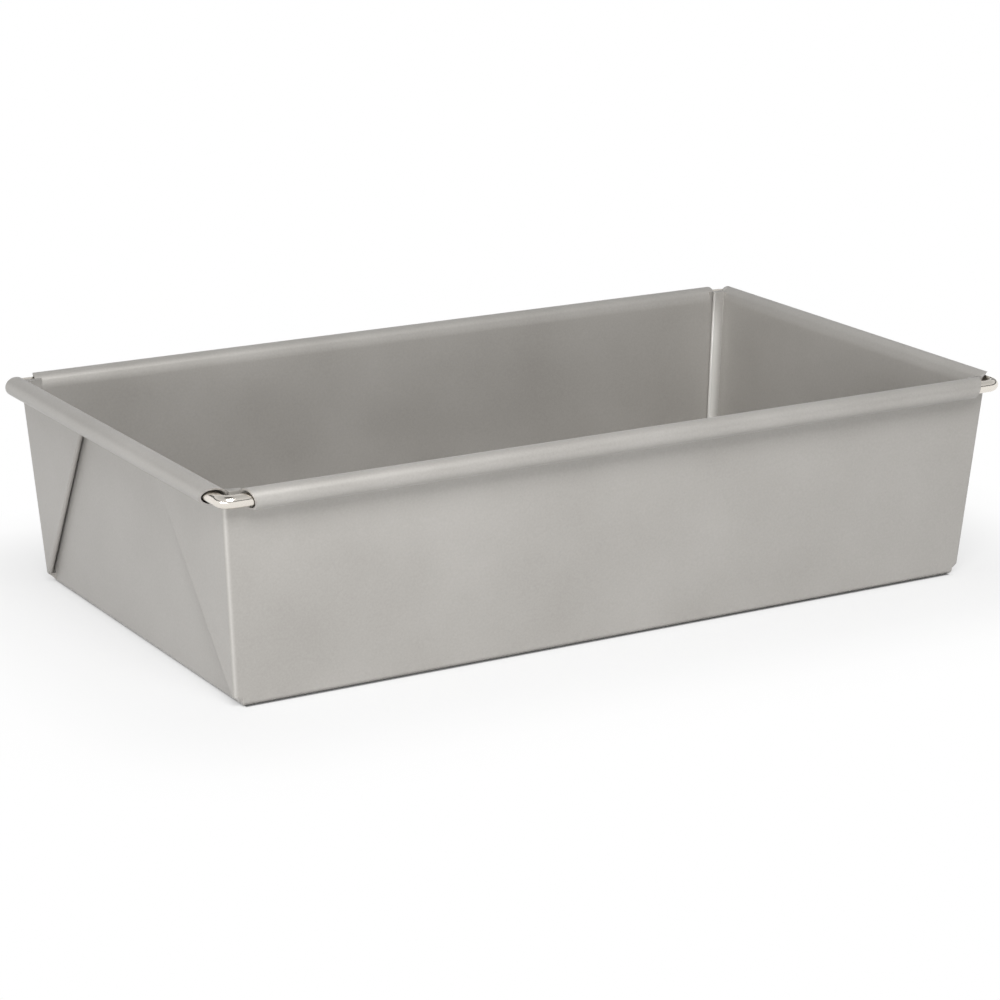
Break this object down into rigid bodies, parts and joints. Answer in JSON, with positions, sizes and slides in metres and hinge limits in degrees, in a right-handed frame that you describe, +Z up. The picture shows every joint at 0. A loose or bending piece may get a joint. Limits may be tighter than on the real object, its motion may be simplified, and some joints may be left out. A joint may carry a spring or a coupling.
{
  "type": "folded loaf tin",
  "caption": "Open rectangular loaf tin folded from one steel sheet, with flared walls, doubled corner ears on the end walls and a rim rolled round a steel wire.",
  "frame": {"origin": "middle of the base's underside, which is the middle of the bottom of the bounding box", "axes": "+X along the tin's length, +Y across its width, +Z up out of its mouth"},
  "size_m": [0.2826, 0.1622, 0.0684],
  "materials": {
    "coated_steel": "satin warm grey release coating over sheet steel, with a fine even grain",
    "bright_wire": "bright nickel-plated steel wire"
  },
  "bodies": {
    "root": {"pan_body": "coated_steel", "rim_wire": "bright_wire"}
  },
  "joints": []
}
